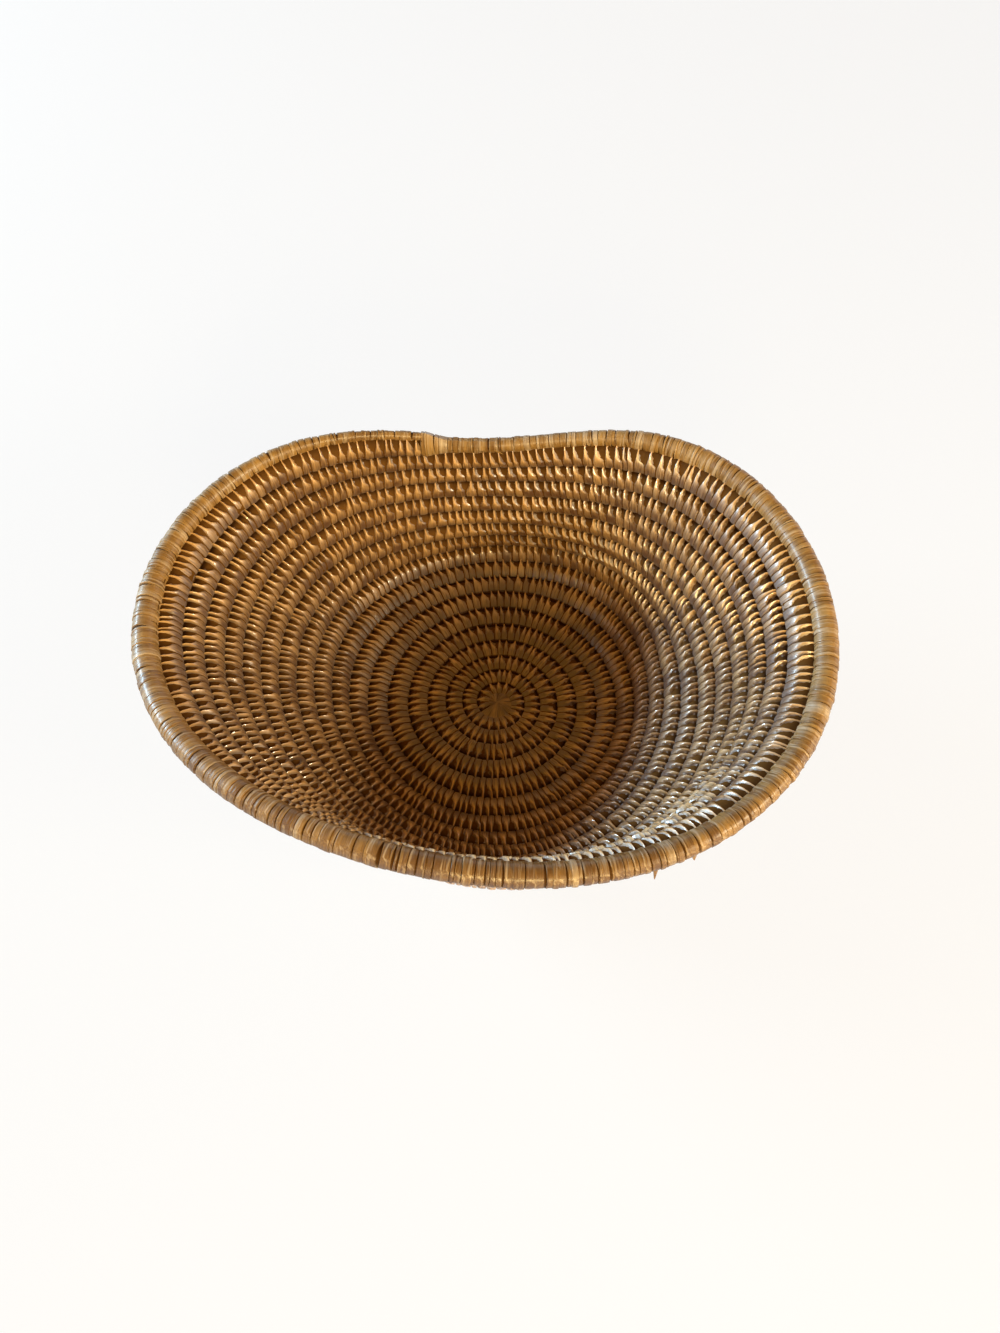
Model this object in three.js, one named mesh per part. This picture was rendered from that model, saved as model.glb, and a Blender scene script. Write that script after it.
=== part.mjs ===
// Coiled cane bowl. One long core winds in a spiral from the middle of the base up to an oval rim.
// Split-cane strips bind it from end to end, and the last, thicker turn is the rim.
// Millimetres, +Z up. The origin is under the middle of the coil, on the surface the bowl stands on.
// +X is to the right and +Y to the back, where the coil ends in a taper.

import * as THREE from "three";

// The coil, from its start at the button to its end on the rim. It starts fine and grows to its full pitch.
const START_PITCH = 5.5;
const COIL_PITCH = 9;
const GROWTH_TURNS = 5;
const COIL_END_ANGLE = 105;
const TURN_GAP = 0.7;
const RIM_RADIUS_GAIN = 0.2;
const RIM_GAIN_TURNS = 0.3;
const TAIL_TURNS = 0.25;

// The binding, and the core inside it at the coil's thin end
const STRIP_THICKNESS = 1;
const STRIP_COVER = 340;
const RIM_STRIPS = 3;
const FIT_CLEARANCE = 0.3;
const TAIL_CORE_RADIUS = 0.35;

// The button that the coil starts from
const BUTTON_RADIUS = 2.2;

// The wall, measured along it from the middle: a level base, then four arcs. The coil winds to its end.
const BASE_RADIUS = 40;
const FOOT_SPAN = 28;
const LOWER_WALL_SPAN = 22;
const UPPER_WALL_SPAN = 36;
const LIP_SPAN = 35;

// The wall's slope where the base and each arc end, in degrees above level, on its four sides.
// The skew makes it steeper at the back right and the front left, and flatter at the other two corners.
const RIGHT_SLOPE_ANGLES = [0, 57, 55, 61, 27];
const BACK_SLOPE_ANGLES = [0, 0, 98, 87, 109];
const LEFT_SLOPE_ANGLES = [0, 43, 48, 57, 43];
const FRONT_SLOPE_ANGLES = [0, 32, 51, 83, 61];
const SKEW_SLOPE_ANGLES = [0, 5, 7, -3, 2];

// The lip spreads out a little more towards three corners, of which this is one
const CORNER_ANGLE = 45;
const CORNER_SPREAD_ANGLES = [0, 0, 0, 0, 7];

// Facets: steps in one turn of the coil, and the six-sided section with its flat faces in and out
const STEPS_PER_TURN = 28;
const SECTION = [[1, 0], [0.5, 1], [-0.5, 1], [-1, 0], [-0.5, -1], [0.5, -1]];
const SIDES = SECTION.length;
const TINY_TURN = 0.001;

// Values that follow from the sizes above
const spans = [BASE_RADIUS, FOOT_SPAN, LOWER_WALL_SPAN, UPPER_WALL_SPAN, LIP_SPAN];
const stations = spans.map((_, count) => spans.slice(0, count + 1).reduce((sum, span) => sum + span));
const coilRadius = (COIL_PITCH - TURN_GAP) / 2;
const rimRadius = coilRadius + RIM_RADIUS_GAIN;
const bindingDepth = STRIP_THICKNESS + FIT_CLEARANCE;
const startRadius = (START_PITCH - TURN_GAP) / 2;
const tailRadius = TAIL_CORE_RADIUS + bindingDepth;
const startGirth = BUTTON_RADIUS + TURN_GAP + startRadius;
const pitchGrowth = (COIL_PITCH - START_PITCH) / GROWTH_TURNS;
const grownGirth = startGirth + ((START_PITCH + COIL_PITCH) / 2) * GROWTH_TURNS;
const turnsOnWall = GROWTH_TURNS + (stations.at(-1) - grownGirth) / COIL_PITCH;
const stepCount = Math.round(turnsOnWall * STEPS_PER_TURN);
const coilEnd = stepCount / STEPS_PER_TURN;
const rimStart = coilEnd - 1;
const rimStep = stepCount - STEPS_PER_TURN;

const CANE = { color: 0x9a6a2c, roughness: 0.5, metalness: 0 };
const RIM_CANE = { color: 0xa87634, roughness: 0.45, metalness: 0 };
const CORE = { color: 0xb9965c, roughness: 0.8, metalness: 0 };
const BUTTON = { color: 0x7d5222, roughness: 0.55, metalness: 0 };

function smooth(from, to, value) {
  return THREE.MathUtils.smoothstep(value, from, to);
}

// Radius of the bound coil at a turn: it grows from the thin start, and ends in the rim and its tail
function radiusAt(turn) {
  const grown = startRadius + (pitchGrowth / 2) * Math.min(turn, GROWTH_TURNS);
  const atRim = grown + (rimRadius - grown) * smooth(rimStart, rimStart + RIM_GAIN_TURNS, turn);
  return atRim + (tailRadius - atRim) * smooth(coilEnd - TAIL_TURNS, coilEnd, turn);
}

// Distance of the coil's centre line from the middle, along the wall.
// Each turn rests on the one before.
function girthAt(turn) {
  if (turn < GROWTH_TURNS) {
    return startGirth + (START_PITCH + (pitchGrowth * turn) / 2) * turn;
  }
  const even = grownGirth + (turn - GROWTH_TURNS) * COIL_PITCH;
  return turn < rimStart ? even : even + radiusAt(turn) - coilRadius;
}

// Direction of a turn seen from above: the coil runs outward clockwise
function angleAt(turn) {
  return THREE.MathUtils.degToRad(COIL_END_ANGLE + (coilEnd - turn) * 360);
}

// Slope of the wall at one station, blended smoothly between the four sides
function slopeAt(station, angle) {
  const right = RIGHT_SLOPE_ANGLES[station];
  const back = BACK_SLOPE_ANGLES[station];
  const left = LEFT_SLOPE_ANGLES[station];
  const front = FRONT_SLOPE_ANGLES[station];
  const mean = (right + back + left + front) / 4;
  const sideways = ((right - left) / 2) * Math.cos(angle);
  const lengthways = ((back - front) / 2) * Math.sin(angle);
  const oval = ((right - back + left - front) / 4) * Math.cos(2 * angle);
  const skew = SKEW_SLOPE_ANGLES[station] * Math.sin(2 * angle);
  const fromCorner = angle - THREE.MathUtils.degToRad(CORNER_ANGLE);
  const corners = -CORNER_SPREAD_ANGLES[station] * Math.cos(3 * fromCorner);
  return THREE.MathUtils.degToRad(mean + sideways + lengthways + oval + skew + corners);
}

// A point of the wall's middle surface, and the slope there.
// The wall is a chain of arcs between the stations, and straight after the last one.
function wallAt(girth, angle) {
  const last = stations.length - 1;
  let reach = Math.min(girth, BASE_RADIUS);
  let rise = 0;
  let slope = slopeAt(0, angle);
  for (let station = 0; station <= last && girth > stations[station]; station += 1) {
    const span = station < last ? spans[station + 1] : Infinity;
    const length = Math.min(girth - stations[station], span);
    const bend = station < last ? (slopeAt(station + 1, angle) - slopeAt(station, angle)) / span : 0;
    const half = (bend * length) / 2;
    const chord = half === 0 ? length : (length * Math.sin(half)) / half;
    reach += chord * Math.cos(slope + half);
    rise += chord * Math.sin(slope + half);
    slope += 2 * half;
  }
  const point = new THREE.Vector3(reach * Math.cos(angle), reach * Math.sin(angle), rise + coilRadius);
  return { point, slope };
}

function coilCentre(turn) {
  return wallAt(girthAt(turn), angleAt(turn)).point;
}

// The coil's centre at a turn, with the directions along it, up the wall and into the bowl
function coilFrame(turn) {
  const angle = angleAt(turn);
  const { point, slope } = wallAt(girthAt(turn), angle);
  const along = coilCentre(turn + TINY_TURN).sub(coilCentre(turn - TINY_TURN)).normalize();
  const flat = Math.cos(slope);
  const across = new THREE.Vector3(flat * Math.cos(angle), flat * Math.sin(angle), Math.sin(slope));
  across.addScaledVector(along, -across.dot(along)).normalize();
  const inward = new THREE.Vector3().crossVectors(along, across);
  return { point, along, across, inward };
}

const frames = [];
const lengths = [];
for (let step = 0; step <= stepCount; step += 1) {
  frames.push(coilFrame(step / STEPS_PER_TURN));
  const stride = step === 0 ? 0 : frames[step].point.distanceTo(frames[step - 1].point);
  lengths.push((lengths.at(-1) ?? 0) + stride);
}

function coilLength(first, last) {
  return lengths[last] - lengths[first];
}

// One ring of section points round the coil, slid along it by a small distance.
// The underside is cut level.
function ringAt(step, radius, slide) {
  const { point, along, across, inward } = frames[step];
  return SECTION.map(([u, v]) => {
    const corner = point.clone()
      .addScaledVector(across, u * radius)
      .addScaledVector(inward, v * radius)
      .addScaledVector(along, slide);
    return corner.setZ(Math.max(corner.z, 0));
  });
}

// Rings of a tube from one step to another, thinner than the bound coil by an inset.
// Both ends are drawn back a little.
function tubeRings(first, last, inset, drawBack) {
  const rings = [];
  for (let step = first; step <= last; step += 1) {
    let slide = 0;
    if (step === first) {
      slide = drawBack;
    } else if (step === last) {
      slide = -drawBack;
    }
    rings.push(ringAt(step, radiusAt(step / STEPS_PER_TURN) - inset, slide));
  }
  return rings;
}

// Faces between the rings of a tube whose points start at an index, wound to face out or, for a bore, in
function wallFaces(ringCount, start, facesOut) {
  const faces = [];
  for (let ring = 0; ring < ringCount - 1; ring += 1) {
    for (let side = 0; side < SIDES; side += 1) {
      const next = (side + 1) % SIDES;
      const a = start + ring * SIDES + side;
      const b = start + ring * SIDES + next;
      const c = b + SIDES;
      const d = a + SIDES;
      faces.push(...(facesOut ? [a, b, c, a, c, d] : [a, c, b, a, d, c]));
    }
  }
  return faces;
}

function solidFrom(points, faces) {
  const geometry = new THREE.BufferGeometry().setFromPoints(points);
  geometry.setIndex(faces);
  geometry.computeVertexNormals();
  return geometry;
}

// A solid rod along the coil
function rodGeometry(first, last, inset, drawBack) {
  const rings = tubeRings(first, last, inset, drawBack);
  const end = (rings.length - 1) * SIDES;
  const faces = wallFaces(rings.length, 0, true);
  for (let side = 1; side < SIDES - 1; side += 1) {
    faces.push(0, side + 1, side);
    faces.push(end, end + side, end + side + 1);
  }
  return solidFrom(rings.flat(), faces);
}

// A sleeve along the coil, open at both ends for the core to pass through
function sleeveGeometry(first, last, thickness, drawBack) {
  const outer = tubeRings(first, last, 0, drawBack);
  const bore = tubeRings(first, last, thickness, drawBack);
  const boreStart = outer.length * SIDES;
  const end = (outer.length - 1) * SIDES;
  const faces = [...wallFaces(outer.length, 0, true), ...wallFaces(bore.length, boreStart, false)];
  for (let side = 0; side < SIDES; side += 1) {
    const next = (side + 1) % SIDES;
    faces.push(side, boreStart + side, boreStart + next, side, boreStart + next, next);
    const a = end + side;
    const b = end + next;
    faces.push(a, b, boreStart + b, a, boreStart + b, boreStart + a);
  }
  return solidFrom([...outer.flat(), ...bore.flat()], faces);
}

// The button fills the space inside the first turn. Its edge steps out once, along the coil's start face.
function buttonGeometry() {
  const outline = [];
  const addEdge = (step, offset, slide) => {
    const { point, along, across } = frames[step];
    const edge = point.clone().addScaledVector(across, offset).addScaledVector(along, slide);
    outline.push(new THREE.Vector2(edge.x, edge.y));
  };
  addEdge(0, -startRadius - TURN_GAP, -FIT_CLEARANCE);
  for (let step = 1; step < STEPS_PER_TURN; step += 1) {
    addEdge(step, -radiusAt(step / STEPS_PER_TURN) - TURN_GAP, 0);
  }
  addEdge(0, startRadius, -FIT_CLEARANCE);
  const extrusion = { depth: 2 * coilRadius, bevelEnabled: false };
  return new THREE.ExtrudeGeometry(new THREE.Shape(outline), extrusion);
}

// Steps that divide a stretch of the coil into strips of about equal cover
function stripEnds(first, last, count) {
  const ends = [];
  let step = first;
  for (let strip = 0; strip <= count; strip += 1) {
    const target = lengths[first] + (coilLength(first, last) * strip) / count;
    while (step < last && lengths[step] < target) {
      step += 1;
    }
    ends.push(step);
  }
  return ends;
}

// Least distance between points on one turn of the bound coil and points on the next turn
function leastTurnGap() {
  const rings = tubeRings(0, stepCount, 0, 0);
  const points = rings.map((ring, step) => {
    const next = rings[Math.min(step + 1, stepCount)];
    return [...ring, ...ring.map((point, side) => point.clone().lerp(next[side], 0.5))];
  });
  let least = Infinity;
  for (let step = 0; step + STEPS_PER_TURN <= stepCount; step += 1) {
    for (let offset = -1; offset <= 1; offset += 1) {
      const facing = points[Math.min(step + STEPS_PER_TURN + offset, stepCount)];
      for (const point of points[step]) {
        least = Math.min(least, ...facing.map((other) => point.distanceTo(other)));
      }
    }
  }
  return least;
}

const bowl = new THREE.Group();

function addPiece(name, geometry, look) {
  const piece = new THREE.Mesh(geometry, new THREE.MeshStandardMaterial(look));
  piece.name = name;
  bowl.add(piece);
}

function addStrips(prefix, digits, ends, look) {
  for (let strip = 0; strip < ends.length - 1; strip += 1) {
    const name = `${prefix}_${String(strip + 1).padStart(digits, "0")}`;
    const [first, last] = [ends[strip], ends[strip + 1]];
    addPiece(name, sleeveGeometry(first, last, STRIP_THICKNESS, FIT_CLEARANCE / 2), look);
  }
}

addPiece("start_button", buttonGeometry(), BUTTON);
addPiece("coil_core", rodGeometry(0, stepCount, bindingDepth, FIT_CLEARANCE), CORE);

const bodyStrips = Math.round(coilLength(0, rimStep) / STRIP_COVER);
addStrips("binding_strip", 2, stripEnds(0, rimStep, bodyStrips), CANE);
addStrips("rim_strip", 1, stripEnds(rimStep, stepCount, RIM_STRIPS), RIM_CANE);

console.log(`Coil length ${coilLength(0, stepCount).toFixed(0)} mm in ${coilEnd} turns`);
console.log(`Least gap between turns ${leastTurnGap().toFixed(2)} mm`);

export default bowl;
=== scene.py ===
"""Looks of a coiled cane bowl: its bound coil, the rim and the button that the coil starts from."""

import math

import bmesh
import bpy
import numpy as np
from bpy.props import FloatProperty, FloatVectorProperty, IntProperty, PointerProperty
from mathutils import Euler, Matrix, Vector


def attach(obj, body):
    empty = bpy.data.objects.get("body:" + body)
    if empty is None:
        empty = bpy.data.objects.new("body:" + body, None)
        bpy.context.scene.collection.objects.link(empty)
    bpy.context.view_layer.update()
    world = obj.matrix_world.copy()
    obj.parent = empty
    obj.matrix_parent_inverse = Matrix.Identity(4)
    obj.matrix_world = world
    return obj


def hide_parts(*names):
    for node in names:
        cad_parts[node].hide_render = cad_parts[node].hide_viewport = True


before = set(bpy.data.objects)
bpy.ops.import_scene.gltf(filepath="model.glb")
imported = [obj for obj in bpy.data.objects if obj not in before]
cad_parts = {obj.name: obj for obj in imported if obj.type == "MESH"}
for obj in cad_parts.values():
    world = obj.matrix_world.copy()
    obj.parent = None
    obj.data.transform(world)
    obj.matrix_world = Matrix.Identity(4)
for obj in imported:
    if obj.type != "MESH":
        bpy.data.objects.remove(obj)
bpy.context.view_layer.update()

bl_info = {
    "name": "Coiled Cane Bowl",
    "version": (1, 0, 0),
    "blender": (4, 5, 0),
    "location": "3D View > Sidebar > Cane Bowl",
    "description": "Builds the bound coil, the rim and the button of a coiled cane bowl",
    "category": "Add Mesh",
}

MM = 0.001
BODY = "root"
BINDING_NODES = sorted(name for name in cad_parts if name.startswith("binding_strip"))
RIM_NODES = sorted(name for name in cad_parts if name.startswith("rim_strip"))


def length(name, millimetres, description):
    """A length that a user can change."""
    return FloatProperty(name=name, description=description, default=millimetres * MM, unit="LENGTH")


def share(name, default, description):
    """A plain number that a user can change."""
    return FloatProperty(name=name, description=description, default=default)


def turned(name, degrees, description):
    """An angle that a user can change."""
    return FloatProperty(name=name, description=description, default=math.radians(degrees), subtype="ANGLE")


def slopes(name, *degrees):
    """The wall's slope on one side, where the base and each arc of the wall end."""
    return FloatVectorProperty(
        name=name,
        description="Slope of the wall above level, where the base and each arc of the wall end",
        size=5,
        default=[math.radians(angle) for angle in degrees],
        unit="ROTATION",
    )


def colour(name, red, green, blue, description):
    """A colour that a user can change."""
    return FloatVectorProperty(
        name=name,
        description=description,
        size=3,
        default=(red, green, blue),
        subtype="COLOR",
        min=0,
        max=1,
    )


class CaneCoil(bpy.types.PropertyGroup):
    """Sizes of the coil and of the wall that it winds up"""

    start_pitch: length("Start pitch", 5.5, "Distance from the first turn to the next")
    pitch: length("Pitch", 9, "Distance from one turn to the next along the wall, once the coil is grown")
    growth_turns: share("Growth turns", 5, "Turns over which the coil grows to its full pitch")
    turn_gap: length("Turn gap", 0.7, "Gap between the plain bound turns")
    tail_radius: length("Tail radius", 1.65, "Radius of the bound coil where it ends")
    rim_gain: length("Rim gain", 0.2, "How much thicker the rim is than the other turns")
    rim_gain_turns: share("Rim gain turns", 0.3, "Turns over which the rim thickens")
    tail_turns: share("Tail turns", 0.25, "Turns over which the end of the coil tapers")
    button_radius: length("Button radius", 2.2, "Radius of the button inside the first turn")
    end_angle: turned("End angle", 105, "Direction of the end of the coil, seen from above")
    steps: IntProperty(name="Steps", description="Steps of one turn that the strips are cut at", default=28)
    spans: FloatVectorProperty(
        name="Spans",
        description="Radius of the level base, then the length of each arc of the wall",
        size=5,
        default=(0.040, 0.028, 0.022, 0.036, 0.035),
        unit="LENGTH",
    )
    right: slopes("Right", 0, 57, 55, 61, 27)
    back: slopes("Back", 0, 0, 98, 87, 109)
    left: slopes("Left", 0, 43, 48, 57, 43)
    front: slopes("Front", 0, 32, 51, 83, 61)
    skew: slopes("Skew", 0, 5, 7, -3, 2)
    corners: slopes("Corners", 0, 0, 0, 0, 7)
    corner_angle: turned("Corner angle", 45, "Direction of one of the lip's three corners")


class CaneBinding(bpy.types.PropertyGroup):
    """Sizes of the stitches that bind the coil"""

    base_spacing: length("Base spacing", 2.9, "Distance from one stitch to the next in the base")
    wall_spacing: length("Wall spacing", 3.1, "Distance from one stitch to the next high on the wall")
    back_spacing: length("Back spacing", 4.0, "Distance from one stitch to the next at the back")
    row_width: length("Row width", 10.0, "Width of the packed row under the stitches, up the wall")
    row_depth: length("Row depth", 7.0, "Depth of the packed row under the stitches, through the wall")
    base_tip: length("Base tip", 0.5, "Width of a stitch's tip in the base")
    wall_tip: length("Wall tip", 0.5, "Width of a stitch's tip on the wall")
    base_fin: length("Base fin", 1.0, "Height of a stitch's ridge in the base")
    wall_fin: length("Wall fin", 1.0, "Height of a stitch's ridge on the wall")
    base_shift: length("Base shift", 0.3, "How far a stitch's tip lies behind its middle in the base")
    wall_shift: length("Wall shift", 1.0, "How far a stitch's tip lies behind its middle on the wall")
    wrap_height: length("Wrap height", 0.5, "Height of a stitch where it lies wide on the coil")
    base_pocket: length("Base pocket", 0.6, "Depth of the pockets between the tips in the base")
    wall_pocket: length("Wall pocket", 0.7, "Depth of the pockets between the tips on the wall")
    lean: length("Lean", 0.4, "Usual sideways scatter of a stitch's tip")
    rim_wrap: length("Rim wrap", 1.7, "Usual width of a wrap of the rim")
    rim_height: length("Rim wrap height", 0.32, "Height of a wrap of the rim")
    end_bind: length("End bind", 9.5, "Length of the wraps that bind the coil's end to the turn under it")
    core_share: share("Core share", 0.48, "Share of the bound coil's radius that the core fills")
    seed: IntProperty(name="Seed", description="Start of the scatter in the stitches", default=11)


class CaneColours(bpy.types.PropertyGroup):
    """Colours of the cane"""

    # The painted highlight on the stitches' ridges reaches this lightest cane
    light: colour("Light cane", 0.95, 0.57, 0.225, "Split cane at its lightest")
    dark: colour("Dark cane", 0.13, 0.046, 0.006, "Split cane at its darkest")
    rim_light: colour("Light rim", 0.54, 0.32, 0.105, "Split cane of the rim at its lightest")
    rim_dark: colour("Dark rim", 0.17, 0.076, 0.016, "Split cane of the rim at its darkest")
    # Painted shade: the near-black that the depth attribute mixes in
    pocket: colour("Pocket", 0.030, 0.010, 0.002, "Deep between the stitches")
    # The packed row's own dark brown, with the shade of the pockets partly painted into it
    row: colour("Packed row", 0.16, 0.070, 0.012, "The packed row low between the stitches")
    # Pale wraps of the rim: partly real wear, partly painted sheen
    wear_and_sheen: colour("Worn cane", 0.66, 0.50, 0.33, "Strips of the rim that are worn pale")
    core: colour("Core", 0.40, 0.26, 0.12, "The rod inside the binding")


class CaneStage(bpy.types.PropertyGroup):
    """Camera, floor and light"""

    camera_place: FloatVectorProperty(
        name="Camera",
        description="Place of the camera",
        default=(0.0012, -0.2136, 0.3734),
        subtype="XYZ",
        unit="LENGTH",
    )
    camera_tilt: turned("Tilt", 32.24, "Tilt of the camera up from straight down")
    lens: share("Lens", 27, "Focal length on a sensor with a long side of 36 mm")
    floor_radius: length("Floor radius", 3000, "Radius of the floor and of the backdrop round it")
    backdrop_height: length("Backdrop height", 1900, "Height of the backdrop")
    ambient: share("Ambient", 0.285, "Strength of the even light from all round")
    ambient_colour: colour("Ambient colour", 1.0, 0.48, 0.05, "Colour of the even light from all round")


class CoilPath:
    """The line that the bound coil follows, with the directions along it, up the wall and into the bowl"""

    TINY = 0.001
    FINE = 240

    def __init__(self, sizes):
        self.sizes = sizes
        self.plain_radius = (sizes.pitch - sizes.turn_gap) / 2
        self.start_radius = (sizes.start_pitch - sizes.turn_gap) / 2
        self.start_girth = sizes.button_radius + sizes.turn_gap + self.start_radius
        self.growth = (sizes.pitch - sizes.start_pitch) / sizes.growth_turns
        self.grown_girth = self.start_girth + (sizes.start_pitch + sizes.pitch) / 2 * sizes.growth_turns
        self.stations = np.cumsum(sizes.spans)
        turns = sizes.growth_turns + (self.stations[-1] - self.grown_girth) / sizes.pitch
        self.step_count = round(turns * sizes.steps)
        self.end = self.step_count / sizes.steps
        self.rim_start = self.end - 1
        self.fine_turns = np.linspace(0, self.end, round(self.end * self.FINE) + 1)
        strides = np.linalg.norm(np.diff(self.centre(self.fine_turns), axis=0), axis=1)
        self.fine_lengths = np.concatenate([[0], np.cumsum(strides)])

    def radius(self, turn):
        """Radius of the bound coil."""
        sizes = self.sizes
        grown = self.start_radius + self.growth / 2 * np.minimum(turn, sizes.growth_turns)
        gain = smooth_step(self.rim_start, self.rim_start + sizes.rim_gain_turns, turn)
        at_rim = mix(grown, self.plain_radius + sizes.rim_gain, gain)
        return mix(at_rim, sizes.tail_radius, smooth_step(self.end - sizes.tail_turns, self.end, turn))

    def girth(self, turn):
        """Distance from the middle, along the wall."""
        sizes = self.sizes
        growing = self.start_girth + (sizes.start_pitch + self.growth * turn / 2) * turn
        even = self.grown_girth + (turn - sizes.growth_turns) * sizes.pitch
        even = np.where(turn < self.rim_start, even, even + self.radius(turn) - self.plain_radius)
        return np.where(turn < sizes.growth_turns, growing, even)

    def angle(self, turn):
        """Direction seen from above: the coil runs outward clockwise."""
        return self.sizes.end_angle + (self.end - turn) * math.tau

    def wall(self, turn):
        """Points of the wall's middle surface, and its slope there."""
        sizes = self.sizes
        girth = self.girth(turn)
        angle = self.angle(turn)
        right, back, left, front, skew, corners = (
            np.array(side)[:, None]
            for side in (sizes.right, sizes.back, sizes.left, sizes.front, sizes.skew, sizes.corners)
        )
        slope_at = (
            (right + back + left + front) / 4
            + (right - left) / 2 * np.cos(angle)
            + (back - front) / 2 * np.sin(angle)
            + (right - back + left - front) / 4 * np.cos(2 * angle)
            + skew * np.sin(2 * angle)
            - corners * np.cos(3 * (angle - sizes.corner_angle))
        )
        reach = np.minimum(girth, self.stations[0])
        rise = np.zeros_like(girth)
        slope = slope_at[0]
        for first, (start, span) in enumerate(zip(self.stations, sizes.spans[1:])):
            run = np.clip(girth - start, 0, span)
            half = (slope_at[first + 1] - slope_at[first]) * run / span / 2
            chord = run * np.sinc(half / math.pi)
            reach = reach + chord * np.cos(slope + half)
            rise = rise + chord * np.sin(slope + half)
            slope = slope + 2 * half
        point = np.stack([reach * np.cos(angle), reach * np.sin(angle), rise + self.plain_radius], axis=-1)
        return point, slope

    def centre(self, turn):
        """Points of the coil's middle."""
        return self.wall(turn)[0]

    def directions(self, turn):
        """Unit directions along the coil, up the wall and into the bowl."""
        along = unit(self.centre(turn + self.TINY) - self.centre(turn - self.TINY))
        slope = self.wall(turn)[1]
        angle = self.angle(turn)
        flat = np.cos(slope)
        across = np.stack([flat * np.cos(angle), flat * np.sin(angle), np.sin(slope)], axis=-1)
        across = unit(across - along * np.sum(across * along, axis=-1, keepdims=True))
        return along, across, np.cross(along, across)

    def turn_at(self, run):
        """Turn at a length along the coil."""
        return np.interp(run, self.fine_lengths, self.fine_turns)

    def run_at(self, turn):
        """Length along the coil at a turn."""
        return np.interp(turn, self.fine_turns, self.fine_lengths)

    def strip_runs(self, first, last, count):
        """Start and end lengths of strips that cover a stretch of steps about equally."""
        marks = np.arange(first, last + 1)
        points = self.centre(marks / self.sizes.steps)
        lengths = np.concatenate([[0], np.cumsum(np.linalg.norm(np.diff(points, axis=0), axis=1))])
        targets = lengths[-1] * np.arange(count + 1) / count
        cuts = marks[np.minimum(np.searchsorted(lengths, targets - 1e-9), len(marks) - 1)]
        runs = self.run_at(cuts / self.sizes.steps)
        return list(zip(runs[:-1], runs[1:]))

    def bend(self, run, around, reach):
        """Places at a length along the coil, an angle round it from up the wall and a distance out."""
        turn = self.turn_at(run)
        _, across, inward = self.directions(turn)
        up_wall = (reach * np.cos(around))[:, None]
        into_bowl = (reach * np.sin(around))[:, None]
        places = self.centre(turn) + across * up_wall + inward * into_bowl
        places[:, 2] = np.maximum(places[:, 2], 0)
        return places


def smooth_step(start, end, value):
    """Nothing up to the start, one from the end on, and smooth between them."""
    part = np.clip((value - start) / (end - start), 0, 1)
    return part * part * (3 - 2 * part)


def unit(vectors):
    """Vectors of the same directions, one unit long."""
    return vectors / np.linalg.norm(vectors, axis=-1, keepdims=True)


def mix(first, second, part):
    """A value part of the way from one to another."""
    return first + (second - first) * part


TURN_OUT = (0.1, 0.5)


def out_of_bowl(around):
    """One on the outside of the coil, and nothing on its inside."""
    return smooth_step(*TURN_OUT, -np.sin(around))


def off_up(around):
    """Degrees between a direction round the coil and the way up the wall."""
    return np.degrees(np.abs(np.angle(np.exp(1j * around))))


CANE_FINISH = 0
PACKED_FINISH = 1


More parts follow.
